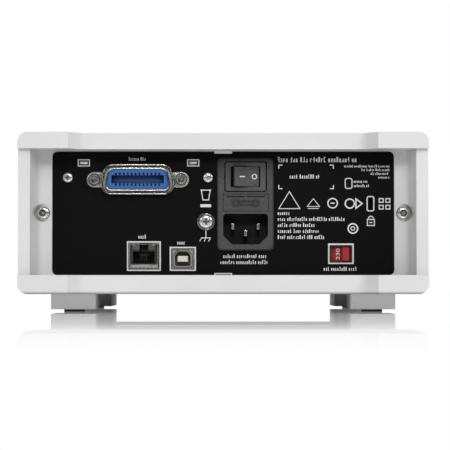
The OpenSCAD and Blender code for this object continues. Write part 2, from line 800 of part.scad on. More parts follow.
// Cap with a collar behind the panel that keeps it in
module key(size) {
    slab(-1.5, front_panel_t + 0.4) polygon(round_rect(size[0], size[1], 1, 4));
    slab(-2, -1.5) polygon(round_rect(size[0] - 0.8, size[1] - 0.8, 0.8, 4));
    slab(front_panel_t + 0.2, front_panel_t + 1) square(size + [2, 1.6], center = true);
}

module soft_key(i) color("#b9bcbe") on_front(soft_key_at(i)) key(soft_key_size);

module function_key(i) color("#b9bcbe") on_front(function_key_at(i)) key(key_sizes);

module key_standby() color("#b9bcbe") on_front(standby_at) {
    bar(standby_r, -2, front_panel_t + 0.4);
    bar(standby_r + 0.9, front_panel_t + 0.2, front_panel_t + 1);
}

module display_window() color("#0b0c0f") on_front(window_at)
    slab(0, 1.6) polygon(round_rect(window_size[0], window_size[1], 1.8));

module display_module() color("#3a3d42") on_front(window_at)
    slab(front_panel_t, front_panel_t + 4.2) square([88, 50], center = true);

module key_mat() color("#6a6c70") {
    mat_y = front_panel_t + 2.2;
    translate([0, front_face, 0]) slab(mat_y, mat_y + 2) {
        translate([-97, 18.6]) square([133, 11]);
        translate([-1, 20]) square([37, 66]);
    }
}

module front_board() color(board_green)
    translate([-100, front_panel_in + 4.2, 18.5]) cube([138, board_t, 69]);

module jacks(places) for (at = places) on_front(at) difference() {
    union() {
        bar(7.4, -1.6, 0);
        bar(jack_body_r, 0, 24);
    }
    bar(4.5, -3, 20);
    bar(2.95, 19, 25);
}

module jacks_red() color(signal_red) jacks(jacks_high);

module jacks_black() color(plastic_black) jacks(jacks_low);

module jack_contacts() color(gold) for (at = concat(jacks_high, jacks_low)) on_front(at) difference() {
    bar(2.9, 2, 27);
    bar(jack_r, 1, 20);
}

module current_fuse_cap() color(plastic_black) on_front(fuse_cap_at) difference() {
    union() {
        bar(7, -2.4, -0.1);
        bar(5.5, -0.1, 12);
    }
    slab(-3, -1.2) square([11, 1.6], center = true);
}

// ---------------------------------------------------------------- assembly

case_sleeve();
front_bezel();
rear_bezel();
rear_panel();
chassis_tray();
bezel_screws();
rear_feet();
front_feet();
tilt_leg();  // tilt_leg_right
mirror([1, 0, 0]) tilt_leg();  // tilt_leg_left
foot_pads();
foot_screws();
inlet_housing();
inlet_pins();
fuse_drawer();
mains_fuses();
power_switch_frame();
power_rocker();
voltage_selector_housing();
voltage_selector_slider();
bus_shell();
bus_insert();
bus_contacts();
bus_jackscrews();
bus_bracket();
bus_board();
bracket_screws();
lan_shell();
lan_insert();
usb_shell();
usb_insert();
usb_tongue();
earth_terminal();
main_board();
board_standoffs();
transformer_core();
transformer_windings();
shield_can();
front_panel();
display_window();
display_module();
front_board();
key_mat();
jacks_red();
jacks_black();
jack_contacts();
current_fuse_cap();
key_standby();
for (i = [0:soft_key_count - 1])
    soft_key(i);
for (i = [0:len(function_key_names) - 1])
    function_key(i);
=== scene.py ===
"""Looks of the bench multimeter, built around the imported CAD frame.

Frame: +Z up, the connector panel faces +Y and the display faces -Y. Places on the connector panel are
(u, z) in millimetres, u to the right as seen from behind; places on the front are (x, z).
"""
import json
import math
import random

import bmesh
import bpy
from mathutils import Matrix, Vector
from mathutils.bvhtree import BVHTree

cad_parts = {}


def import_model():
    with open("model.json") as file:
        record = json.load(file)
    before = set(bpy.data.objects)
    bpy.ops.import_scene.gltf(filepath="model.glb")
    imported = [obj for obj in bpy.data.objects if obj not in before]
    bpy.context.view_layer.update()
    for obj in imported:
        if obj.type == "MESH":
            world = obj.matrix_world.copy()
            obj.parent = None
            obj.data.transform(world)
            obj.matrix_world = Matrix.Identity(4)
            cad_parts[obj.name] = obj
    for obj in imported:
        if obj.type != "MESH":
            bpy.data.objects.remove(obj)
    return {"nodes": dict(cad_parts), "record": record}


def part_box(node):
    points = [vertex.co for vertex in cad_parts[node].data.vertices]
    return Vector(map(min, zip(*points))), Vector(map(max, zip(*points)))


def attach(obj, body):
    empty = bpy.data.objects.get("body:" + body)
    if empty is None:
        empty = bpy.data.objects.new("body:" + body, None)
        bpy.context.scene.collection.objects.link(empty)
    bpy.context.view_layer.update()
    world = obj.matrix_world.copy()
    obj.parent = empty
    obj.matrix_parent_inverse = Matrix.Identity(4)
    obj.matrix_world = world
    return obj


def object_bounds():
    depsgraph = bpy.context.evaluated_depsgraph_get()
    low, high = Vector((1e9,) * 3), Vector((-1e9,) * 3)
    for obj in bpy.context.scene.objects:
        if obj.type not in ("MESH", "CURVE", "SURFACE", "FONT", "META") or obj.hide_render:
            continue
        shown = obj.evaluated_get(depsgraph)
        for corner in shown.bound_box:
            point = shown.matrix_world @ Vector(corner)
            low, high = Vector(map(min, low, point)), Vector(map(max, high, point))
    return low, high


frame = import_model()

MM = 0.001
cad_low, cad_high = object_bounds()
nodes = frame["nodes"]
slot_of = {part["node"]: part["material_slot"] for part in frame["record"]["subparts"]}

PANEL_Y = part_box("rear_panel")[1].y
FRONT_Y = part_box("front_panel")[0].y
REAR_Y = cad_high.y
LATCH_Y = PANEL_Y + 3 * MM
INK_T = 0.04 * MM               # thickness of a printed mark
DRAPE_LIFT = 0.02 * MM          # gap between a node's surface and the marks draped on it
FIGURE_SHARE = 0.7              # height of a figure over the size of its font

# places and sizes in millimetres
PANEL_LOW_Z = 20.2              # top of the rear bezel's bottom bar
TAB_PLACES = (-76.7, -16.5)     # u of the bus bracket's two tabs
TAB_Z = 82.0
BEZEL_SCREW_R = 4.0             # head of a bezel screw
STANDOFF_R = 3.7                # flange of a bus standoff
JACK_CONTACT_R = 2.95           # contact of an input jack
JACK_CENTRE_Z = 58.0            # middle row of input jacks
UNDERSIDE_MM = 1.5              # height of the painted shade line at a bezel's lower edge

FLOOR_HALF = 8.0                # metres from the middle of the floor to its sides
FLOOR_LIGHT = 0.72              # light that the floor sends to the object
FLOOR_GLOSS = (                 # metres from the middle of the floor, strength of its mirror there
    (0.11, 0.92), (0.20, 0.78), (0.39, 0.65), (0.46, 0.48),
    (0.52, 0.24), (0.60, 0.15), (0.67, 0.09), (0.73, 0.0),
)
ROOM_LIGHT = (0.03, 0.31)       # low down, overhead
FRONT_END, REAR_END = 0.45, 0.70    # the room's light at its two ends, as a share of that at its sides


# ---------------------------------------------------------------- shader helpers

class Shader:
    """A material's node tree with one Principled shader, and short calls to add detail to it."""

    def __init__(self, name, colour, roughness, metallic=0.0):
        self.material = bpy.data.materials.new(name)
        self.material.use_nodes = True
        self.tree = self.material.node_tree
        self.shader = self.tree.nodes["Principled BSDF"]
        self.colour = colour
        self.set("Base Color", (*colour, 1.0))
        self.set("Roughness", roughness)
        self.set("Metallic", metallic)
        self.coords = self.add("ShaderNodeTexCoord").outputs["Object"]
        self.normal = None

    def add(self, kind, **settings):
        node = self.tree.nodes.new(kind)
        for key, value in settings.items():
            setattr(node, key, value)
        return node

    def link(self, source, target):
        self.tree.links.new(source, target)

    def set(self, socket, value):
        self.shader.inputs[socket].default_value = value

    def math(self, operation, a, b=None, clamp=False):
        node = self.add("ShaderNodeMath", operation=operation, use_clamp=clamp)
        for socket, value in zip(node.inputs, (a, b)):
            if value is None:
                continue
            if isinstance(value, (int, float)):
                socket.default_value = value
            else:
                self.link(value, socket)
        return node.outputs[0]

    def stretched(self, scale):
        """Object coordinates multiplied per axis, for streaks and laminations."""
        node = self.add("ShaderNodeMapping")
        node.inputs["Scale"].default_value = scale
        self.link(self.coords, node.inputs["Vector"])
        return node.outputs["Vector"]

    def noise(self, size_mm, detail=3.0, roughness=0.55, stretch=None):
        """Noise from 0 to 1 with features about size_mm across."""
        node = self.add("ShaderNodeTexNoise")
        node.inputs["Scale"].default_value = 1.0 / (size_mm * MM)
        node.inputs["Detail"].default_value = detail
        node.inputs["Roughness"].default_value = roughness
        self.link(self.stretched(stretch) if stretch else self.coords, node.inputs["Vector"])
        return node.outputs["Fac"]

    def remap(self, value, low, high, start=0.3, end=0.7):
        """Takes start to low and end to high, and holds the result between them."""
        node = self.add("ShaderNodeMapRange")
        self.link(value, node.inputs["Value"])
        for key, number in (("From Min", start), ("From Max", end), ("To Min", low), ("To Max", high)):
            node.inputs[key].default_value = number
        return node.outputs["Result"]

    def mottle(self, value, amount, tint=(1.0, 1.0, 1.0)):
        """Varies the base colour by plus or minus amount, leaning towards tint where it is light."""
        mix = self.add("ShaderNodeMix", data_type="RGBA")
        dark = [c * (1 - amount) for c in self.colour]
        light = [min(1.0, c * (1 + amount) * t) for c, t in zip(self.colour, tint)]
        mix.inputs["A"].default_value = (*dark, 1.0)
        mix.inputs["B"].default_value = (*light, 1.0)
        self.link(self.remap(value, 0.0, 1.0), mix.inputs["Factor"])
        self.paint(mix.outputs["Result"])
        return self

    def paint(self, colour):
        self.link(colour, self.shader.inputs["Base Color"])

    def overlay(self, mask, colour):
        """Lays colour over what the base colour is so far, where mask is 1."""
        base = self.shader.inputs["Base Color"]
        mix = self.add("ShaderNodeMix", data_type="RGBA")
        if base.is_linked:
            self.link(base.links[0].from_socket, mix.inputs["A"])
        else:
            mix.inputs["A"].default_value = base.default_value
        mix.inputs["B"].default_value = (*colour, 1.0)
        self.link(mask, mix.inputs["Factor"])
        self.paint(mix.outputs["Result"])
        return self

    def crevice_shade(self, distance_mm, floor=0.0, power=1.0):
        """Painted shade: darkens the base colour and the sheen in narrow gaps and deep recesses, down to
        floor.
        """
        shade = self.add("ShaderNodeAmbientOcclusion", samples=8)
        shade.inputs["Distance"].default_value = distance_mm * MM
        amount = self.remap(self.math("POWER", shade.outputs["AO"], power), floor, 1.0, 0.0, 1.0)
        base = self.shader.inputs["Base Color"]
        mix = self.add("ShaderNodeVectorMath", operation="SCALE")
        if base.is_linked:
            self.link(base.links[0].from_socket, mix.inputs[0])
        else:
            mix.inputs[0].default_value = base.default_value[:3]
        self.link(amount, mix.inputs["Scale"])
        self.paint(mix.outputs[0])
        sheen = self.shader.inputs["Specular IOR Level"]
        self.link(self.math("MULTIPLY", amount, sheen.default_value), sheen)
        return self

    def vary_roughness(self, value, low, high):
        self.link(self.remap(value, low, high), self.shader.inputs["Roughness"])
        return self

    def bump(self, value, depth_mm):
        node = self.add("ShaderNodeBump")
        node.inputs["Distance"].default_value = depth_mm * MM
        self.link(value, node.inputs["Height"])
        if self.normal is not None:
            self.link(self.normal, node.inputs["Normal"])
        self.normal = node.outputs["Normal"]
        self.link(self.normal, self.shader.inputs["Normal"])
        return self


def grey(value):
    return (value, value, value)


# ---------------------------------------------------------------- materials, one function per kind

def painted_edge_shade(look, edge_z):
    """Mask of painted shade: 1 on upright faces at a piece's lower edge, fading to 0 a little above it."""
    normal = look.add("ShaderNodeSeparateXYZ")
    look.link(look.add("ShaderNodeNewGeometry").outputs["Normal"], normal.inputs[0])
    upright = look.math("SUBTRACT", 1.0, look.math("ABSOLUTE", normal.outputs[2]))
    near = look.remap(separate(look)[2], 0.9, 0.0, edge_z, edge_z + UNDERSIDE_MM * MM)
    return look.math("MULTIPLY", near, upright)


def moulded(name, colour, roughness=0.42, grain_mm=0.35, depth_mm=0.012, shade=0.03, gap_mm=0.0,
            gap_floor=0.1, edge_z=None):
    """Moulded plastic with a fine grain and faint flow shading.

    Painted shade darkens recesses within gap_mm to gap_floor, and the lower edge too if its height edge_z is
    given.
    """
    look = Shader(name, colour, roughness)
    look.mottle(look.noise(38, 2), shade)
    look.vary_roughness(look.noise(6, 4), roughness - 0.06, roughness + 0.06)
    look.bump(look.noise(grain_mm, 2, 0.6), depth_mm)
    look.set("IOR", 1.48)
    if edge_z is not None:
        # painted shade: a dark line along the lower edge
        look.overlay(painted_edge_shade(look, edge_z), grey(0.1))
    # painted shade in recesses
    if gap_mm:
        look.crevice_shade(gap_mm, gap_floor, 1.6)
    return look.material


def spark_eroded(name, colour):
    """Dark technical plastic whose coarse grain shows as light and dark specks."""
    look = Shader(name, colour, 0.55)
    look.mottle(look.noise(0.8, 4, 0.7), 0.44)
    look.bump(look.noise(0.5, 3, 0.7), 0.05)
    look.bump(look.noise(14, 2), 0.03)
    # painted shade in recesses
    look.crevice_shade(16, 0.2, 2.4)
    return look.material


def powder_coat(name, colour, roughness=0.46):
    """Powder-coated sheet with an orange-peel skin."""
    look = Shader(name, colour, roughness)
    look.mottle(look.noise(60, 2), 0.025)
    look.vary_roughness(look.noise(3, 3), roughness - 0.05, roughness + 0.05)
    look.bump(look.noise(0.9, 2, 0.5), 0.03)
    look.set("Coat Weight", 0.15)
    look.set("Coat Roughness", 0.35)
    return look.material


def plated(name, colour, roughness=0.24, gap_mm=1.2, bump_mm=0.003):
    """Nickel or zinc plate: bright, faintly clouded, unevenly polished, and darkened by painted shade in gaps
    within gap_mm.
    """
    look = Shader(name, colour, roughness, metallic=1.0)
    look.mottle(look.noise(5, 3), 0.07, (1.0, 0.99, 0.97))
    look.vary_roughness(look.noise(3, 4), roughness - 0.05, roughness + 0.08)
    look.bump(look.noise(2.4, 2), bump_mm)
    # painted shade in gaps
    look.crevice_shade(gap_mm, 0.03, 1.5)
    return look.material


def spangled(name, colour):
    """Zinc-plated sheet with a soft crystalline spangle."""
    look = Shader(name, colour, 0.38, metallic=1.0)
    cells = look.add("ShaderNodeTexVoronoi")
    cells.inputs["Scale"].default_value = 1.0 / (4.5 * MM)
    look.link(look.coords, cells.inputs["Vector"])
    look.mottle(cells.outputs["Color"], 0.16)
    look.vary_roughness(cells.outputs["Distance"], 0.30, 0.46)
    look.bump(look.noise(0.6, 3), 0.006)
    return look.material


def rubber(name, colour):
    """Matt rubber, dusty and finely pitted."""
    look = Shader(name, colour, 0.82)
    look.mottle(look.noise(1.6, 4, 0.7), 0.30)
    look.bump(look.noise(0.4, 3, 0.7), 0.05)
    look.set("Specular IOR Level", 0.35)
    return look.material


def glossy(name, colour, roughness=0.22):
    """Glossy moulded plastic with a slightly uneven skin."""
    look = Shader(name, colour, roughness)
    look.mottle(look.noise(9, 2), 0.07)
    look.vary_roughness(look.noise(2.5, 3), roughness - 0.05, roughness + 0.07)
    look.bump(look.noise(1.1, 2), 0.008)
    look.set("Coat Weight", 0.25)
    look.set("Coat Roughness", 0.12)
    return look.material


def panel_paint(name, colour):
    """Matt black paint on the connector panel."""
    look = Shader(name, colour, 0.50)
    look.mottle(look.noise(30, 3), 0.10)
    look.vary_roughness(look.noise(1.8, 4), 0.44, 0.58)
    look.bump(look.noise(0.45, 3, 0.6), 0.015)
    look.set("Specular IOR Level", 0.06)
    return look.material


def circuit_board(name, colour):
    """Green solder mask over a pattern of tracks and pads."""
    look = Shader(name, colour, 0.32)
    tracks = look.add("ShaderNodeTexBrick", offset=0.37)
    tracks.inputs["Scale"].default_value = 1.0 / (9 * MM)
    tracks.inputs["Mortar Size"].default_value = 0.035
    look.link(look.coords, tracks.inputs["Vector"])
    look.mottle(look.noise(12, 3), 0.12)
    look.overlay(tracks.outputs["Fac"], [c * 1.9 + 0.01 for c in colour])
    look.bump(tracks.outputs["Fac"], 0.03)
    return look.material


def laminations(name, colour):
    """Stacked transformer sheets seen on edge, under varnish."""
    look = Shader(name, colour, 0.35, metallic=0.7)
    sheets = look.noise(0.5, 1, stretch=(0.01, 1.0, 0.01))
    look.mottle(sheets, 0.35)
    look.bump(sheets, 0.06)
    look.set("Coat Weight", 0.4)
    return look.material


def winding(name, colour):
    """Enamelled wire under amber tape."""
    look = Shader(name, colour, 0.28, metallic=0.4)
    turns = look.noise(0.7, 1, stretch=(0.02, 0.02, 1.0))
    look.mottle(turns, 0.30, (1.0, 0.85, 0.6))
    look.bump(turns, 0.10)
    look.set("Coat Weight", 0.6)
    return look.material


def ink(name, colour, roughness=0.6):
    """Screen-printed ink: flat, with slightly uneven cover."""
    look = Shader(name, colour, roughness)
    look.mottle(look.noise(0.9, 3), 0.06)
    look.vary_roughness(look.noise(2, 2), roughness - 0.08, roughness + 0.08)
    return look.material


def display_glass(name, colour):
    """Dark hard-coated window; the unlit display shows as a slightly lighter field."""
    look = Shader(name, colour, 0.06)
    x, _, z = separate(look)
    low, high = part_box("display_window")
    centre = (low + high) / 2
    half_w, half_h = (high.x - low.x) / 2 - 5 * MM, (high.z - low.z) / 2 - 5 * MM
    inside_x = look.math("LESS_THAN", look.math("ABSOLUTE", look.math("SUBTRACT", x, centre.x)), half_w)
    inside_z = look.math("LESS_THAN", look.math("ABSOLUTE", look.math("SUBTRACT", z, centre.z)), half_h)
    look.mottle(look.noise(20, 2), 0.10)
    look.overlay(look.math("MULTIPLY", inside_x, inside_z), (0.020, 0.023, 0.030))
    look.vary_roughness(look.noise(15, 3), 0.04, 0.09)
    look.set("Coat Weight", 0.5)
    look.set("Coat Roughness", 0.03)
    return look.material


def separate(look):
    """X, Y and Z of the object coordinates."""
    node = look.add("ShaderNodeSeparateXYZ")
    look.link(look.coords, node.inputs[0])
    return node.outputs


LOOKS = {
    # painted shade in recesses within gap_mm, and a painted shade line along the lower edge at edge_z
    "bezel_plastic": moulded("bezel_plastic", (0.80, 0.80, 0.80), 0.44, gap_mm=14, gap_floor=0.84,
                             edge_z=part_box("rear_bezel")[0].z),
    "front_plastic": moulded("front_plastic", (0.66, 0.67, 0.67), 0.40, 0.5, 0.010),
    "sleeve_paint": powder_coat("sleeve_paint", (0.60, 0.61, 0.62)),
    "panel_paint": panel_paint("panel_paint", (0.0034, 0.0034, 0.0040)),
    "zinc_steel": spangled("zinc_steel", (0.55, 0.56, 0.57)),
    "tinned_steel": spangled("tinned_steel", (0.62, 0.62, 0.63)),
    "plated_screw": plated("plated_screw", (0.75, 0.74, 0.71), 0.15),
    "plated_shell": plated("plated_shell", (0.88, 0.86, 0.82), 0.22, 2.6, 0.0006),
    # a dark copy of the plate: painted shade on the faces of the network and device jacks
    "jack_steel": plated("jack_steel", (0.34, 0.34, 0.33), 0.30, 2.4, 0.008),
    # a dark copy of the plate: painted shade and painted dark reflection on the inlet pins and the bus
    # contacts
    "plated_pin": plated("plated_pin", (0.30, 0.30, 0.29), 0.20),
    "fuse_caps": plated("fuse_caps", (0.72, 0.72, 0.72), 0.22),
    "contact_gold": plated("contact_gold", (0.83, 0.62, 0.28), 0.22),
    "foot_plastic": moulded("foot_plastic", (0.73, 0.73, 0.735), 0.5, 0.4, 0.02, 0.03),
    "pad_rubber": rubber("pad_rubber", (0.022, 0.022, 0.023)),
    "mat_rubber": rubber("mat_rubber", (0.14, 0.14, 0.15)),
    "module_plastic": spark_eroded("module_plastic", (0.050, 0.051, 0.052)),
    "switch_plastic": spark_eroded("switch_plastic", (0.074, 0.074, 0.076)),
    "olive_plastic": moulded("olive_plastic", (0.16, 0.125, 0.065), 0.4, gap_mm=3, gap_floor=0.45),
    "black_plastic": moulded("black_plastic", (0.013, 0.013, 0.014), 0.45, gap_mm=4),
    "selector_red": moulded("selector_red", (0.38, 0.008, 0.010), 0.55, gap_mm=3, gap_floor=0.3),
    "bus_blue": moulded("bus_blue", (0.016, 0.126, 0.43), 0.42, 0.3, 0.01, 0.06, gap_mm=4),
    "tongue_plastic": moulded("tongue_plastic", (0.83, 0.80, 0.70), 0.45),
    "circuit_board": circuit_board("circuit_board", (0.018, 0.12, 0.055)),
    "core_steel": laminations("core_steel", (0.13, 0.13, 0.14)),
    "winding_copper": winding("winding_copper", (0.55, 0.34, 0.07)),
    "window_black": display_glass("window_black", (0.008, 0.009, 0.011)),
    "display_frame": moulded("display_frame", (0.05, 0.05, 0.06), 0.5),
    "key_rubber": moulded("key_rubber", (0.46, 0.47, 0.48), 0.52, 0.45, 0.016),
    "jack_red": glossy("jack_red", (0.46, 0.014, 0.012), 0.26),
    "jack_black": glossy("jack_black", (0.011, 0.011, 0.012), 0.26),
}
WHITE_INK = ink("white_ink", (0.80, 0.80, 0.79))
DARK_INK = ink("dark_ink", (0.012, 0.012, 0.012))
# painted shade around screw heads, standoffs and tabs and in the earth screw's cross
SHADE_INK = ink("shade_ink", (0.055, 0.054, 0.052))


# ---------------------------------------------------------------- soft edges on the CAD nodes

def cleaning_group():
    """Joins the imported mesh's split corners and shades it smooth."""
    group = bpy.data.node_groups.new("clean_mesh", "GeometryNodeTree")
    group.interface.new_socket("Geometry", in_out="INPUT", socket_type="NodeSocketGeometry")
    group.interface.new_socket("Geometry", in_out="OUTPUT", socket_type="NodeSocketGeometry")
    source = group.nodes.new("NodeGroupInput")
    merge = group.nodes.new("GeometryNodeMergeByDistance")
    merge.inputs["Distance"].default_value = 0.002 * MM
    smooth = group.nodes.new("GeometryNodeSetShadeSmooth")
    target = group.nodes.new("NodeGroupOutput")
    group.links.new(source.outputs[0], merge.inputs["Geometry"])
    group.links.new(merge.outputs["Geometry"], smooth.inputs["Geometry"])
    group.links.new(smooth.outputs["Geometry"], target.inputs[0])
    return group


CLEAN = cleaning_group()


def soften(obj, width_mm, segments=2, angle=32):
    """Rounds the sharp edges of a CAD node with modifiers, leaving its own mesh as it is."""
    mesh = obj.data
    if "custom_normal" in mesh.attributes:
        mesh.attributes.remove(mesh.attributes["custom_normal"])
    obj.modifiers.new("clean", "NODES").node_group = CLEAN
    bevel = obj.modifiers.new("bevel", "BEVEL")
    bevel.width = width_mm * MM
    bevel.segments = segments
    bevel.limit_method = "ANGLE"
    bevel.angle_limit = math.radians(angle)
    bevel.harden_normals = True
    bevel.miter_outer = "MITER_ARC"


EDGE_MM = {
    "rear_bezel": 0.4, "front_bezel": 0.8, "case_sleeve": 0.25, "rear_panel": 0.12, "front_panel": 0.25,
    "rear_feet": 0.6, "front_feet": 0.6, "tilt_leg_left": 0.5, "tilt_leg_right": 0.5, "foot_pads": 0.3,
    "inlet_housing": 0.3, "power_switch_frame": 0.35, "power_rocker": 0.4, "fuse_drawer": 0.2,
    "inlet_pins": 0.65, "bus_shell": 0.38, "bus_insert": 0.12, "voltage_selector_slider": 0.25,
    "display_window": 0.3, "jacks_red": 0.35, "jacks_black": 0.35, "current_fuse_cap": 0.5, "lan_shell": 0.15,
    "usb_shell": 0.15, "usb_tongue": 0.2, "earth_terminal": 0.2, "bus_jackscrews": 0.5, "key_standby": 0.5,
}
KEY_EDGE_MM = 0.5
SMALL_EDGE_MM = 0.1

for name, obj in nodes.items():
    obj.data.materials.clear()
    # the bus contacts take the dark pin plate: painted shade deep in the bus slot
    obj.data.materials.append(LOOKS["plated_pin" if name == "bus_contacts" else slot_of[name]])
    is_key = name.startswith(("key_", "soft_key_")) and name != "key_mat"
    soften(obj, EDGE_MM.get(name, KEY_EDGE_MM if is_key else SMALL_EDGE_MM))


# ---------------------------------------------------------------- printed marks

def corners_of(x, z, half_w, half_h):
    """Corners of a rectangle centred on x, z, in turn from the lower left one."""
    turns = ((-1, -1), (1, -1), (1, 1), (-1, 1))
    return [(x + across * half_w, z + up * half_h) for across, up in turns]


class Print:
    """Flat marks drawn in millimetres, then laid as a thin skin of ink on a face."""

    def __init__(self):
        self.mesh = bmesh.new()
        self.layer = 0

    def next_layer(self):
        """A height above the face in millimetres, unlike the last few, so that overlaps never coincide."""
        self.layer = (self.layer + 1) % 16
        return 0.0008 * self.layer

    def area(self, points):
        """A filled outline."""
        lift = self.next_layer()
        self.mesh.faces.new([self.mesh.verts.new((x, lift, z)) for x, z in points])

    def rect(self, x, z, w, h):
        """A filled rectangle centred on x, z."""
        self.area(corners_of(x, z, w / 2, h / 2))

    def stroke(self, points, width, closed=False):
        """A line of even width with mitred corners."""
        count = len(points)
        lift = self.next_layer()
        sides = []
        for i, point in enumerate(points):
            here = Vector(point)
            before = Vector(points[i - 1]) if closed or i > 0 else None
            after = Vector(points[(i + 1) % count]) if closed or i < count - 1 else None
            into = (here - before).normalized() if before is not None else (after - here).normalized()
            out = (after - here).normalized() if after is not None else into
            mean = (into + out).normalized()
            normal = Vector((-mean.y, mean.x))
            reach = width / 2 / max(0.35, mean.dot(into))
            edges = (here + normal * reach, here - normal * reach)
            sides.append([self.mesh.verts.new((p.x, lift, p.y)) for p in edges])
        for i in range(count if closed else count - 1):
            (a, b), (c, d) = sides[i], sides[(i + 1) % count]
            self.mesh.faces.new((a, b, d, c))

    def arc(self, x, z, r, width, start=0.0, sweep=360.0):
        """A ring, or part of one."""
        steps = max(6, int(abs(sweep) / 12))
        closed = abs(sweep) >= 360
        angles = [math.radians(start + sweep * i / steps) for i in range(steps if closed else steps + 1)]
        self.stroke([(x + r * math.cos(a), z + r * math.sin(a)) for a in angles], width, closed)

    def frame(self, x, z, w, h, width, r=0.0):
        """A rectangular outline with outer size w by h and corners rounded by r."""
        hw, hh = (w - width) / 2, (h - width) / 2
        if r <= 0:
            self.stroke(corners_of(x, z, hw, hh), width, closed=True)
            return
        points = []
        for sx, sz, start in ((1, -1, -90), (1, 1, 0), (-1, 1, 90), (-1, -1, 180)):
            for step in range(5):
                a = math.radians(start + step * 22.5)
                points.append((x + sx * (hw - r) + r * math.cos(a), z + sz * (hh - r) + r * math.sin(a)))
        self.stroke(points, width, closed=True)

    def greek(self, x, z, length, height, seed, align="left", weight=0.17):
        """A line of meaningless word-like marks, height tall, whose left, middle or right end is at x."""
        rng = random.Random(seed)
        line = height * weight
        cell = height * 0.54
        left = x - {"left": 0.0, "middle": length / 2, "right": length}[align]
        at = left
        letters = rng.randint(3, 8)
        while at + cell * 0.8 <= left + length:
            if letters == 0:
                at += cell * 0.6
                letters = rng.randint(3, 10)
                continue
            self.glyph(rng, at, z, cell - line * 1.5, height, line)
            at += cell
            letters -= 1

    def glyph(self, rng, x, z, w, h, line):
        """One abstract mark: upright bars with one or two ties across the full width."""
        rise = h * rng.choice((0.7, 0.7, 0.7, 1.0))
        base = z - h / 2
        for side in rng.choice(((0,), (0, 1), (0, 1), (1,))):
            self.rect(x + line / 2 + side * (w - line), base + rise / 2, line, rise)
        for level in rng.sample((0.0, 0.5, 1.0), rng.choice((1, 2, 2))):
            self.rect(x + w / 2, base + line / 2 + level * (rise - line), w, line)

    def lay(self, name, place, material, body, slot):
        """Turns the marks into a piece.

        place is a function from (x, z) in millimetres to a point, and the normal along which the ink grows.
        """
        point, normal = place
        for vert in self.mesh.verts:
            vert.co = point(vert.co.x, vert.co.z) + normal * (vert.co.y * MM)
        bmesh.ops.recalc_face_normals(self.mesh, faces=self.mesh.faces[:])
        grown = bmesh.ops.extrude_face_region(self.mesh, geom=self.mesh.faces[:])
        for item in grown["geom"]:
            if isinstance(item, bmesh.types.BMVert):
                item.co += normal * INK_T
        bmesh.ops.recalc_face_normals(self.mesh, faces=self.mesh.faces[:])
        mesh = bpy.data.meshes.new(name)
        self.mesh.to_mesh(mesh)
        self.mesh.free()
        return add_piece(name, mesh, material, body)


def add_piece(name, mesh, material, body):
    """Puts a mesh in the scene as a piece that moves with a body."""
    obj = bpy.data.objects.new(name, mesh)
    bpy.context.scene.collection.objects.link(obj)
    mesh.materials.append(material)
    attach(obj, body)
    return obj


def on_panel(y=PANEL_Y):
    """Places (u, z) marks on a face that looks out of the back."""
    return lambda u, z: Vector((-u * MM, y, z * MM)), Vector((0, 1, 0))


def on_front(y=FRONT_Y):
    """Places (x, z) marks on a face that looks out of the front."""
    return lambda x, z: Vector((x * MM, y, z * MM)), Vector((0, -1, 0))


def middle(node, of_panel=True):
    """Where a node's middle is, as (u, z) or (x, z) in millimetres."""
    low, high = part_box(node)
    centre = (low + high) / 2 / MM
    return (-centre.x if of_panel else centre.x), centre.z


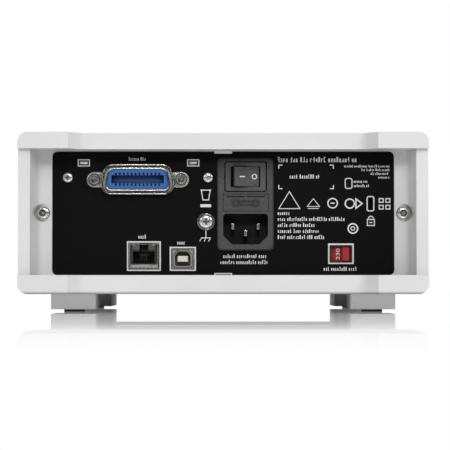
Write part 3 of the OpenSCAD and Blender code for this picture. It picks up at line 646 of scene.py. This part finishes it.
def print_rear_panel():
    marks = Print()
    bus_u, _ = middle("bus_insert")
    lan_u, lan_z = middle("lan_shell")
    usb_u, usb_z = middle("usb_shell")
    sel_u, sel_z = middle("voltage_selector_housing")
    earth_u, earth_z = middle("earth_terminal")

    # port names and outlines
    marks.greek(bus_u, 84.2, 10.6, 1.9, 11, "middle", 0.14)
    marks.greek(lan_u - 0.4, 41.4, 5.2, 2.1, 12, "middle")
    marks.greek(usb_u - 0.5, 38.1, 5.0, 2.1, 13, "middle")
    marks.frame(lan_u, lan_z, 18.6, 16.3, 0.75)
    marks.frame(usb_u, usb_z, 14.4, 13.2, 0.75)
    marks.frame(sel_u, sel_z + 0.2, 14.1, 11.3, 0.85)
    marks.greek(sel_u, 23.7, 18.9, 2.1, 14, "middle")
    for u in TAB_PLACES:
        marks.frame(u, TAB_Z, 6.7, 3.9, 0.5)
    marks.frame(81.0, 59.5, 4.3, 8.5, 0.65, 0.9)

    # earth symbol under its screw
    foot = earth_z - 8.9
    marks.stroke([(earth_u, earth_z - 4.8), (earth_u, foot)], 0.48)
    marks.stroke([(earth_u - 2.7, foot), (earth_u + 2.7, foot)], 0.48)
    for shift in (-2.45, 0, 2.45):
        marks.stroke([(earth_u + shift, foot), (earth_u + shift - 1.0, foot - 1.9)], 0.42)

    # container pictogram with a bar under it
    marks.stroke([(-12.6, 67.0), (-6.6, 67.0)], 0.5)
    marks.stroke([(-12.0, 66.9), (-11.2, 61.6), (-8.0, 61.6), (-7.2, 66.9)], 0.5)
    marks.rect(-9.6, 58.4, 5.9, 1.6)

    # heading, plate corners and address lines
    marks.greek(30.0, 83.8, 43.6, 2.8, 21, "left", 0.14)
    for side_u, side_z in ((-1, 1), (1, 1), (-1, -1), (1, -1)):
        u, z = 45.6 + side_u * 15.0, 74.3 + side_z * 6.5
        marks.stroke([(u - side_u * 2.0, z), (u, z), (u, z - side_z * 2.0)], 0.5)
    marks.greek(45.0, 74.5, 16.8, 2.2, 22, "middle", 0.16)
    for line, length in enumerate((25.4, 15.9, 10.9, 6.6)):
        marks.greek(92.0, 80.2 - 2.05 * line, length, 1.35, 30 + line, "right", 0.16)

    # approval marks, as plain shapes
    marks.stroke([(30.6, 56.8), (36.4, 66.2), (42.2, 56.8)], 0.42, closed=True)
    marks.stroke([(46.2, 58.0), (49.6, 62.3), (53.0, 58.0)], 0.35, closed=True)
    marks.stroke([(46.6, 56.9), (52.6, 56.9)], 0.4)
    marks.arc(60.2, 59.8, 2.6, 0.65)
    marks.rect(60.2, 59.8, 2.2, 0.7)
    marks.arc(69.6, 59.6, 2.5, 0.7)
    marks.stroke([(73.0, 57.0), (73.0, 62.2), (76.4, 59.6)], 0.7, closed=True)
    marks.frame(69.0, 70.7, 4.2, 6.0, 0.5, 1.0)
    marks.greek(71.9, 71.8, 8.0, 1.5, 41, "left", 0.24)
    marks.greek(71.9, 69.4, 8.8, 1.5, 42, "left", 0.24)
    for u, z in ((86.9, 61.3), (90.6, 61.3), (86.9, 57.6), (90.6, 57.6)):
        marks.frame(u, z, 2.8, 2.6, 0.6)
    marks.arc(71.3, 45.9, 2.6, 0.75)
    marks.arc(71.3, 45.9, 1.0, 0.5)

    # padlock pictogram by the lock slot
    marks.arc(81.2, 51.3, 1.35, 0.5, 0, 180)
    marks.frame(81.2, 49.2, 4.4, 3.9, 0.55)
    marks.rect(81.2, 49.2, 1.5, 0.6)

    # rating lines
    for line, length in enumerate((6.6, 37.4, 20.8, 22.9, 25.7)):
        marks.greek(30.0, 54.4 - 3.3 * line, length, 2.1, 50 + line, "left", 0.16)
    marks.greek(12.0, 30.7, 23.9, 2.1, 61, "middle")
    marks.greek(12.0, 27.4, 26.9, 2.1, 62, "middle")
    marks.lay("panel_print", on_panel(), WHITE_INK, "case", "bezel_plastic")


print_rear_panel()


# ---------------------------------------------------------------- small pieces on the connectors

def draped(node):
    """Places (u, z) marks on a node's own surface, found by looking at it from behind along Y."""
    mesh = nodes[node].data
    points = [vert.co for vert in mesh.vertices]
    tree = BVHTree.FromPolygons(points, [list(face.vertices) for face in mesh.polygons])
    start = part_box(node)[1].y + 5 * MM

    def point(u, z):
        hit, _, _, _ = tree.ray_cast(Vector((-u * MM, start, z * MM)), Vector((0, -1, 0)))
        return hit + Vector((0, DRAPE_LIFT, 0))

    return point, Vector((0, 1, 0))


def print_rocker():
    """A dash and a ring in white, one on each half of the rocker."""
    _, z = middle("power_rocker")
    frame_low, frame_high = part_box("power_switch_frame")
    u = -(frame_low.x + frame_high.x) / 2 / MM
    marks = Print()
    for step in range(8):
        marks.rect(u - 1.75 + 0.37 * (step - 3.5), z, 0.37, 0.65)
    marks.arc(u + 4.85, z, 1.25, 0.5)
    marks.lay("rocker_marks", draped("power_rocker"), WHITE_INK, "rocker", "bezel_plastic")


def figures(text, u, z, height, stretch, y, name, body):
    """Number on a face that looks out of the back, turned a quarter so that it reads upwards.

    stretch widens the figures along the line that they stand on.
    """
    curve = bpy.data.curves.new(name, "FONT")
    curve.body = text
    curve.size = height * MM / FIGURE_SHARE
    curve.extrude = INK_T
    curve.align_x = "CENTER"
    curve.align_y = "CENTER"
    text_obj = bpy.data.objects.new(name + "_curve", curve)
    bpy.context.scene.collection.objects.link(text_obj)
    bpy.context.view_layer.update()
    mesh = bpy.data.meshes.new_from_object(text_obj)
    bpy.data.objects.remove(text_obj)
    face_back = Matrix(((0, 1, 0), (0, 0, 1), (1, 0, 0))).to_4x4()
    mesh.transform(Matrix.Translation((-u * MM, y, z * MM)) @ face_back @ Matrix.Diagonal((stretch, 1, 1, 1)))
    return add_piece(name, mesh, WHITE_INK, body)


def print_selector():
    """Both voltages, one of which shows in the window at a time."""
    u, z = middle("voltage_selector_slider")
    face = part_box("voltage_selector_slider")[1].y - 2.2 * MM
    for text, shift, level in (("230", -4.2, "high"), ("115", 4.2, "low")):
        figures(text, u + shift, z, 1.9, 1.6, face, f"selector_{level}_figure", "selector")


def wave(x, z, w, h, steps=14):
    """Points of one period of a sine wave."""
    points = []
    for i in range(steps + 1):
        points.append((x + w * (i / steps - 0.5), z + h / 2 * math.sin(2 * math.pi * i / steps)))
    return points


def draw_direct(marks, x, z):
    """Direct current: a line over three dashes."""
    marks.stroke([(x - 2.4, z + 0.7), (x + 2.4, z + 0.7)], 0.4)
    for shift in (-1.8, 0.0, 1.8):
        marks.stroke([(x + shift - 0.6, z - 0.7), (x + shift + 0.6, z - 0.7)], 0.4)


def draw_alternating(marks, x, z):
    marks.stroke(wave(x, z, 4.8, 2.0), 0.4)


def draw_arrow_under(marks, x, z):
    """Current: an arrow below the kind of current."""
    marks.stroke([(x - 2.2, z - 2.1), (x + 1.6, z - 2.1)], 0.35)
    marks.area([(x + 1.4, z - 2.7), (x + 2.8, z - 2.1), (x + 1.4, z - 1.5)])


def draw_direct_arrow(marks, x, z):
    draw_direct(marks, x, z + 0.7)
    draw_arrow_under(marks, x, z)


def draw_alternating_arrow(marks, x, z):
    draw_alternating(marks, x, z + 0.7)
    draw_arrow_under(marks, x, z)


def draw_resistor(marks, x, z):
    zigzag = [(x - 2.0 + 0.5 * i, z + (0.9 if i % 2 else -0.9)) for i in range(1, 8)]
    marks.stroke([(x - 3.2, z), (x - 2.0, z)] + zigzag + [(x + 2.0, z), (x + 3.2, z)], 0.35)


def draw_sound(marks, x, z):
    """Continuity: a dot and three waves of sound."""
    marks.arc(x - 1.6, z, 0.35, 0.6)
    for r in (1.3, 2.2, 3.1):
        marks.arc(x - 1.6, z, r, 0.35, -42, 84)


def draw_plates(marks, x, z):
    for side in (-1, 1):
        marks.stroke([(x + side * 0.6, z - 1.5), (x + side * 0.6, z + 1.5)], 0.4)
        marks.stroke([(x + side * 0.6, z), (x + side * 2.6, z)], 0.35)


def draw_thermometer(marks, x, z):
    marks.arc(x, z - 1.3, 0.8, 0.4)
    marks.stroke([(x, z - 1.0), (x, z + 2.0)], 0.5)
    for rise in (0.4, 1.2, 2.0):
        marks.stroke([(x + 0.8, z + rise), (x + 1.7, z + rise)], 0.3)


def draw_standby(marks, x, z):
    marks.arc(x, z, 1.6, 0.4, 120, 300)
    marks.stroke([(x, z + 0.3), (x, z + 2.1)], 0.4)


KEY_MARKS = {
    "key_volts_dc": draw_direct, "key_volts_ac": draw_alternating, "key_amps_dc": draw_direct_arrow,
    "key_amps_ac": draw_alternating_arrow, "key_ohms": draw_resistor, "key_continuity": draw_sound,
    "key_capacitance": draw_plates, "key_temperature": draw_thermometer, "key_standby": draw_standby,
}


def print_keys():
    """Symbols of what each key measures."""
    for name, draw in KEY_MARKS.items():
        marks = Print()
        draw(marks, *middle(name, of_panel=False))
        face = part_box(name)[0].y - 0.005 * MM
        marks.lay(name + "_mark", on_front(face), DARK_INK, name + "_body", "black_plastic")


def jack_at(column, row):
    """Where an input jack is on the front, counted from the upper left one."""
    low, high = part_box("jack_contacts")
    edge = JACK_CONTACT_R * MM
    x = (low.x + edge) / MM if column == 0 else (high.x - edge) / MM
    return x, (high.z / MM - JACK_CONTACT_R, JACK_CENTRE_Z, low.z / MM + JACK_CONTACT_R)[row]


def print_front_panel():
    """Lines that pair the jacks, their captions, and captions over the keys."""
    marks = Print()
    left, top = jack_at(0, 0)
    right, centre = jack_at(1, 1)
    low = jack_at(1, 2)[1]
    for x in (left, right):
        marks.stroke([(x, top - 7.4), (x, centre + 7.4)], 0.35)
        marks.greek(x, top + 9.9, 9.0, 1.6, int(x), "middle", 0.2)
    marks.stroke([(right, centre - 7.4), (right, low + 7.4)], 0.35)
    marks.area([(72.0, centre + 11.6), (70.0, centre + 8.0), (74.0, centre + 8.0)])
    for draw, z in ((draw_alternating, 84.0), (draw_direct, 70.0)):
        draw(marks, (left + right) / 2, z)
    marks.stroke([(left, low + 7.4), (left, low + 9.6), (left + 5, low + 9.6)], 0.35)
    marks.greek(left + 6.0, low + 9.6, 7.0, 1.6, 93, "left", 0.2)
    for index, name in enumerate(KEY_MARKS):
        x, z = middle(name, of_panel=False)
        rise = (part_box(name)[1].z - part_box(name)[0].z) / MM / 2 + 1.9
        if name != "key_standby":
            marks.greek(x, z + rise, 8.0, 1.1, 70 + index, "middle", 0.2)
    marks.lay("front_print", on_front(), DARK_INK, "case", "black_plastic")


def bar_mesh(mesh, start, end, width, height):
    """A straight bar with softened long edges between two points."""
    axis = (end - start).normalized()
    side = axis.cross(Vector((0, 0, 1))).normalized() if abs(axis.z) < 0.99 else Vector((1, 0, 0))
    up = side.cross(axis)
    corner = 0.28
    outline = [(1, 1 - corner), (1 - corner, 1), (corner - 1, 1), (-1, 1 - corner),
               (-1, corner - 1), (corner - 1, -1), (1 - corner, -1), (1, corner - 1)]
    rings = []
    for place in (start, end):
        points = [place + side * (a * width / 2) + up * (b * height / 2) for a, b in outline]
        rings.append([mesh.verts.new(point) for point in points])
    for i in range(len(outline)):
        after = (i + 1) % len(outline)
        mesh.faces.new((rings[0][i], rings[0][after], rings[1][after], rings[1][i]))
    mesh.faces.new(rings[0][::-1])
    mesh.faces.new(rings[1])


def bars(name, runs, width, height, material, body):
    """Several bars as one piece; runs are (start, end) points in metres."""
    mesh = bmesh.new()
    for start, end in runs:
        bar_mesh(mesh, Vector(start), Vector(end), width * MM, height * MM)
    bmesh.ops.recalc_face_normals(mesh, faces=mesh.faces[:])
    data = bpy.data.meshes.new(name)
    mesh.to_mesh(data)
    mesh.free()
    return add_piece(name, data, material, body)


def lan_details():
    """Eight spring contacts on the floor of the network jack, and its two signal lamps."""
    low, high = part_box("lan_insert")
    centre = (low.x + high.x) / 2
    face = high.y
    pitch = 1.02 * MM
    runs = []
    for i in range(8):
        x = centre + (i - 3.5) * pitch
        runs.append(((x, face - 3.2 * MM, low.z + 0.9 * MM), (x, face - 11 * MM, low.z + 4.6 * MM)))
    bars("lan_contacts", runs, 0.45, 0.25, LOOKS["contact_gold"], "case")
    top = high.z - 1.5 * MM
    for side, colour in ((-1, (0.07, 0.08, 0.035)), (1, (0.10, 0.10, 0.085))):
        x = centre + side * 4.3 * MM
        lamp = glossy(f"lamp_{side}", colour, 0.2)
        run = [((x - 1.9 * MM, face + 0.05 * MM, top), (x + 1.9 * MM, face + 0.05 * MM, top))]
        bars("lan_lamp_left" if side > 0 else "lan_lamp_right", run, 0.5, 1.9, lamp, "case")


def lan_springs():
    """Bright spring fingers of the network jack's shield, two on each side and two over it."""
    low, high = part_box("lan_shell")
    centre = (low + high) / 2
    face = high.y + 0.1 * MM
    runs = []
    for side in (-1, 1):
        x = centre.x + side * 7.2 * MM
        for rise in (-2.6, 2.6):
            z = centre.z + rise * MM
            runs.append(((x, face, z - 1.5 * MM), (x - side * 0.5 * MM, face - 2.6 * MM, z + 1.1 * MM)))
        x = centre.x + side * 5.0 * MM
        outer = (x - 1.3 * MM, face, high.z - 1.0 * MM)
        runs.append((outer, (x + 1.3 * MM, face - 0.8 * MM, high.z - 0.9 * MM)))
    bars("lan_springs", runs, 0.5, 0.5, LOOKS["plated_screw"], "case")


def usb_contacts():
    """Two contacts on the top and two on the bottom of the device jack's tongue."""
    low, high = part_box("usb_tongue")
    centre = (low.x + high.x) / 2
    runs = []
    for z in (low.z, high.z):
        for side in (-1, 1):
            x = centre + side * 1.25 * MM
            runs.append(((x, high.y - 0.6 * MM, z), (x, low.y + 1 * MM, z)))
    bars("usb_contacts", runs, 1.0, 0.2, LOOKS["contact_gold"], "case")


def print_jacks():
    """Dark seams on the faces of the two square jacks, and painted shade around the device jack's opening."""
    for node in ("lan_shell", "usb_shell"):
        low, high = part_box(node)
        u, z = middle(node)
        half_w = (high.x - low.x) / 2 / MM - 0.4
        half_h = (high.z - low.z) / 2 / MM - 0.4
        marks = Print()
        for step in range(7):
            along = (step + 0.5) / 3.5 - 1
            for side in (-1, 1):
                marks.rect(u + side * half_w, z + along * half_h, 0.3, 0.8)
                marks.rect(u + along * half_w, z + side * half_h, 0.8, 0.3)
        if node == "usb_shell":
            # painted shade in the gap around the device jack's opening
            outline = ((-4.75, -4.4), (4.75, -4.4), (4.75, 2.4), (2.8, 4.4), (-2.8, 4.4), (-4.75, 2.4))
            marks.stroke([(u + x, z + rise) for x, rise in outline], 0.32, closed=True)
        marks.lay(node + "_seams_and_shade", draped(node), DARK_INK, "case", "black_plastic")


def lay_shade(marks, name, node):
    """Drapes marks on a node as shade, in a piece that moves with the case."""
    marks.lay(name, draped(node), SHADE_INK, "case", "black_plastic")


def shade_rings(name, node, places, rings):
    """Rings of shade on a node around each u of places; rings are (radius, width) in millimetres."""
    low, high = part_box(node)
    marks = Print()
    for u in places:
        for r, width in rings:
            marks.arc(u, (low.z + high.z) / 2 / MM, r, width)
    lay_shade(marks, name, node)


def shade_fasteners():
    """Shade around screw heads and standoffs, in the earth screw's cross and around the bracket's tabs."""
    low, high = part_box("bezel_screws")
    places = (low.x / MM + BEZEL_SCREW_R, high.x / MM - BEZEL_SCREW_R)
    shade_rings("bezel_screw_shade", "bezel_screws", places, ((3.35, 0.9), (1.5, 0.6)))

    u, z = middle("earth_terminal")
    marks = Print()
    marks.rect(u, z, 1.1, 1.1)
    for shift in (-1, 1):
        marks.rect(u + shift * 1.05, z, 1.0, 0.9)
        marks.rect(u, z + shift * 1.05, 0.9, 1.0)
    lay_shade(marks, "earth_screw_shade", "earth_terminal")

    low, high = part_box("bus_jackscrews")
    places = (-(low.x / MM + STANDOFF_R), -(high.x / MM - STANDOFF_R))
    shade_rings("standoff_shade", "bus_jackscrews", places, ((3.05, 0.55), (1.75, 0.4)))

    marks = Print()
    for u in TAB_PLACES:
        marks.frame(u, TAB_Z, 5.1, 2.4, 0.5)
    lay_shade(marks, "tab_shade", "bus_bracket")


def print_fuse_drawer():
    """A cartridge fuse in dark outline: two caps and the tube between them."""
    u, z = middle("fuse_drawer")
    z -= 0.4
    marks = Print()
    for side in (-1, 1):
        marks.frame(u + side * 5.6, z, 3.5, 4.1, 0.42, 1.2)
    for rise in (-1.15, 1.15):
        for step in range(10):
            marks.rect(u + 0.78 * (step - 4.5), z + rise, 0.78, 0.42)
    marks.lay("fuse_symbol_lines", draped("fuse_drawer"), DARK_INK, "drawer", "black_plastic")


def paint_latch_shade():
    """Painted shade: a dark strip standing in for the shadowed slit in the lower panel latch."""
    marks = Print()
    marks.rect(0.0, PANEL_LOW_Z + 0.25, 8.4, 0.5)
    marks.lay("latch_slit_shade", on_panel(LATCH_Y), DARK_INK, "case", "black_plastic")


print_keys()
print_front_panel()
print_rocker()
print_fuse_drawer()
paint_latch_shade()
print_selector()
print_jacks()
shade_fasteners()
lan_details()
lan_springs()
usb_contacts()


# ---------------------------------------------------------------- floor, lights and camera

def seen_directly(tree):
    """1 for what the camera sees, also in the floor's mirror, and 0 for light on its way to a surface."""
    path = tree.nodes.new("ShaderNodeLightPath")
    either = tree.nodes.new("ShaderNodeMath")
    either.operation = "MAXIMUM"
    tree.links.new(path.outputs["Is Camera Ray"], either.inputs[0])
    tree.links.new(path.outputs["Is Singular Ray"], either.inputs[1])
    return either.outputs[0]


def light_on_floor(look):
    """How much light the floor's glow sends back to the object: none from a painted shadow of the case, more
    around it.
    """
    shadow_half = (cad_high.x * 0.92, cad_high.y * 0.66)
    fade_start, fade_end = -10 * MM, 12 * MM
    outside = []
    for value, half in zip(separate(look)[:2], shadow_half):
        beyond = look.math("SUBTRACT", look.math("ABSOLUTE", value), half)
        outside.append(look.remap(beyond, 0.0, 1.0, fade_start, fade_end))
    return look.math("MULTIPLY", look.math("MAXIMUM", *outside), FLOOR_LIGHT)


def floor():
    """White floor under a gloss that mirrors at a grazing angle and fades away from the object."""
    mesh = bpy.data.meshes.new("floor")
    corners = [(x, y, 0) for x, y in corners_of(0, 0, FLOOR_HALF, FLOOR_HALF)]
    mesh.from_pydata(corners, [], [(0, 1, 2, 3)])
    obj = bpy.data.objects.new("floor", mesh)
    bpy.context.scene.collection.objects.link(obj)
    look = Shader("floor", (0.9, 0.9, 0.9), 0.9)
    distance = look.add("ShaderNodeVectorMath", operation="LENGTH")
    look.link(look.coords, distance.inputs[0])
    ramp = look.add("ShaderNodeValToRGB")
    elements = ramp.color_ramp.elements
    elements[0].position, elements[1].position = FLOOR_GLOSS[0][0], FLOOR_GLOSS[-1][0]
    elements[0].color = (*grey(FLOOR_GLOSS[0][1]), 1)
    elements[1].color = (*grey(FLOOR_GLOSS[-1][1]), 1)
    for position, value in FLOOR_GLOSS[1:-1]:
        elements.new(position).color = (*grey(value), 1)
    look.link(distance.outputs["Value"], ramp.inputs["Fac"])
    mirror = look.add("ShaderNodeBsdfGlossy")
    mirror.inputs["Color"].default_value = (1, 1, 1, 1)
    mirror.inputs["Roughness"].default_value = 0.0
    glow = look.add("ShaderNodeEmission")
    brightness = look.add("ShaderNodeMapRange")
    look.link(light_on_floor(look), brightness.inputs["To Min"])
    brightness.inputs["To Max"].default_value = 1.0
    look.link(seen_directly(look.tree), brightness.inputs["Value"])
    look.link(brightness.outputs["Result"], glow.inputs["Strength"])
    blend = look.add("ShaderNodeMixShader")
    grazing = look.add("ShaderNodeFresnel")
    grazing.inputs["IOR"].default_value = 1.5
    sheen = look.math("MULTIPLY", grazing.outputs[0], 1.1, clamp=True)
    look.link(look.math("MULTIPLY", ramp.outputs["Color"], sheen), blend.inputs["Fac"])
    look.link(glow.outputs[0], blend.inputs[1])
    look.link(mirror.outputs[0], blend.inputs[2])
    look.link(blend.outputs[0], look.tree.nodes["Material Output"].inputs["Surface"])
    mesh.materials.append(look.material)


def area_light(name, place, size, power, target=(0, 0.05, 0.05)):
    """A soft lamp that lights the object and shows in its sheen, but not in the floor or to the camera."""
    data = bpy.data.lights.new(name, "AREA")
    data.shape = "RECTANGLE"
    data.size, data.size_y = size
    data.energy = power
    data.use_nodes = True
    tree = data.node_tree
    hidden = tree.nodes.new("ShaderNodeMapRange")
    hidden.inputs["To Min"].default_value = 1.0
    hidden.inputs["To Max"].default_value = 0.0
    tree.links.new(seen_directly(tree), hidden.inputs["Value"])
    tree.links.new(hidden.outputs["Result"], tree.nodes["Emission"].inputs["Strength"])
    obj = bpy.data.objects.new(name, data)
    bpy.context.scene.collection.objects.link(obj)
    obj.location = place
    obj.rotation_euler = (Vector(target) - Vector(place)).to_track_quat("-Z", "Y").to_euler()
    obj.visible_camera = False


def world():
    """White to the eye; as light, a grey room that is brighter overhead and darker at its two ends."""
    sky = bpy.data.worlds.new("studio")
    bpy.context.scene.world = sky
    sky.use_nodes = True
    tree = sky.node_tree
    seen = tree.nodes["Background"]
    seen.inputs["Color"].default_value = (1, 1, 1, 1)
    seen.inputs["Strength"].default_value = 1.0
    light = tree.nodes.new("ShaderNodeBackground")
    light.inputs["Color"].default_value = (1, 1, 1, 1)
    direction = tree.nodes.new("ShaderNodeTexCoord")
    height = tree.nodes.new("ShaderNodeSeparateXYZ")
    tree.links.new(direction.outputs["Generated"], height.inputs[0])
    rise = tree.nodes.new("ShaderNodeMapRange")
    for socket, value in zip(("From Min", "From Max", "To Min", "To Max"), (-0.5, 0.8, *ROOM_LIGHT)):
        rise.inputs[socket].default_value = value
    tree.links.new(height.outputs["Z"], rise.inputs["Value"])
    dim = tree.nodes.new("ShaderNodeValToRGB")
    dim.color_ramp.elements[0].color = (*grey(FRONT_END), 1)
    dim.color_ramp.elements[1].color = (*grey(REAR_END), 1)
    for position, value in ((0.25, 1.0), (0.75, 1.0)):
        dim.color_ramp.elements.new(position).color = (*grey(value), 1)
    ends = tree.nodes.new("ShaderNodeMapRange")
    ends.inputs["From Min"].default_value = -1.0
    tree.links.new(height.outputs["Y"], ends.inputs["Value"])
    tree.links.new(ends.outputs["Result"], dim.inputs["Fac"])
    total = tree.nodes.new("ShaderNodeMath")
    total.operation = "MULTIPLY"
    tree.links.new(rise.outputs["Result"], total.inputs[0])
    tree.links.new(dim.outputs["Color"], total.inputs[1])
    tree.links.new(total.outputs[0], light.inputs["Strength"])
    mix = tree.nodes.new("ShaderNodeMixShader")
    tree.links.new(seen_directly(tree), mix.inputs["Fac"])
    tree.links.new(light.outputs[0], mix.inputs[1])
    tree.links.new(seen.outputs[0], mix.inputs[2])
    tree.links.new(mix.outputs[0], tree.nodes["World Output"].inputs["Surface"])


def camera():
    """Low behind the case, aimed a little up so that the horizon sits below the middle."""
    data = bpy.data.cameras.new("camera")
    data.lens = 158.5
    data.sensor_width = 36.0
    data.clip_start = 0.05
    obj = bpy.data.objects.new("camera", data)
    bpy.context.scene.collection.objects.link(obj)
    distance, eye_height = 1.06, 0.017
    tilt_up, turn = 1.62, -0.052
    obj.location = (0.0, REAR_Y + distance, eye_height)
    obj.rotation_euler = (math.radians(90 + tilt_up), 0.0, math.radians(180 + turn))
    bpy.context.scene.camera = obj


floor()
world()
area_light("key", (-0.06, 1.95, 0.66), (0.30, 0.30), 9.0, (0, 0.11, 0.07))
area_light("fill", (-1.3, 1.2, 0.9), (0.7, 0.7), 8.5)
area_light("side", (1.3, 1.6, 0.8), (0.7, 0.7), 4)
area_light("top", (0.0, 0.0, 1.4), (1.6, 1.6), 6)
area_light("front", (0.5, -1.5, 0.9), (1.2, 1.2), 15)
camera()
bpy.context.scene.view_settings.view_transform = "Standard"
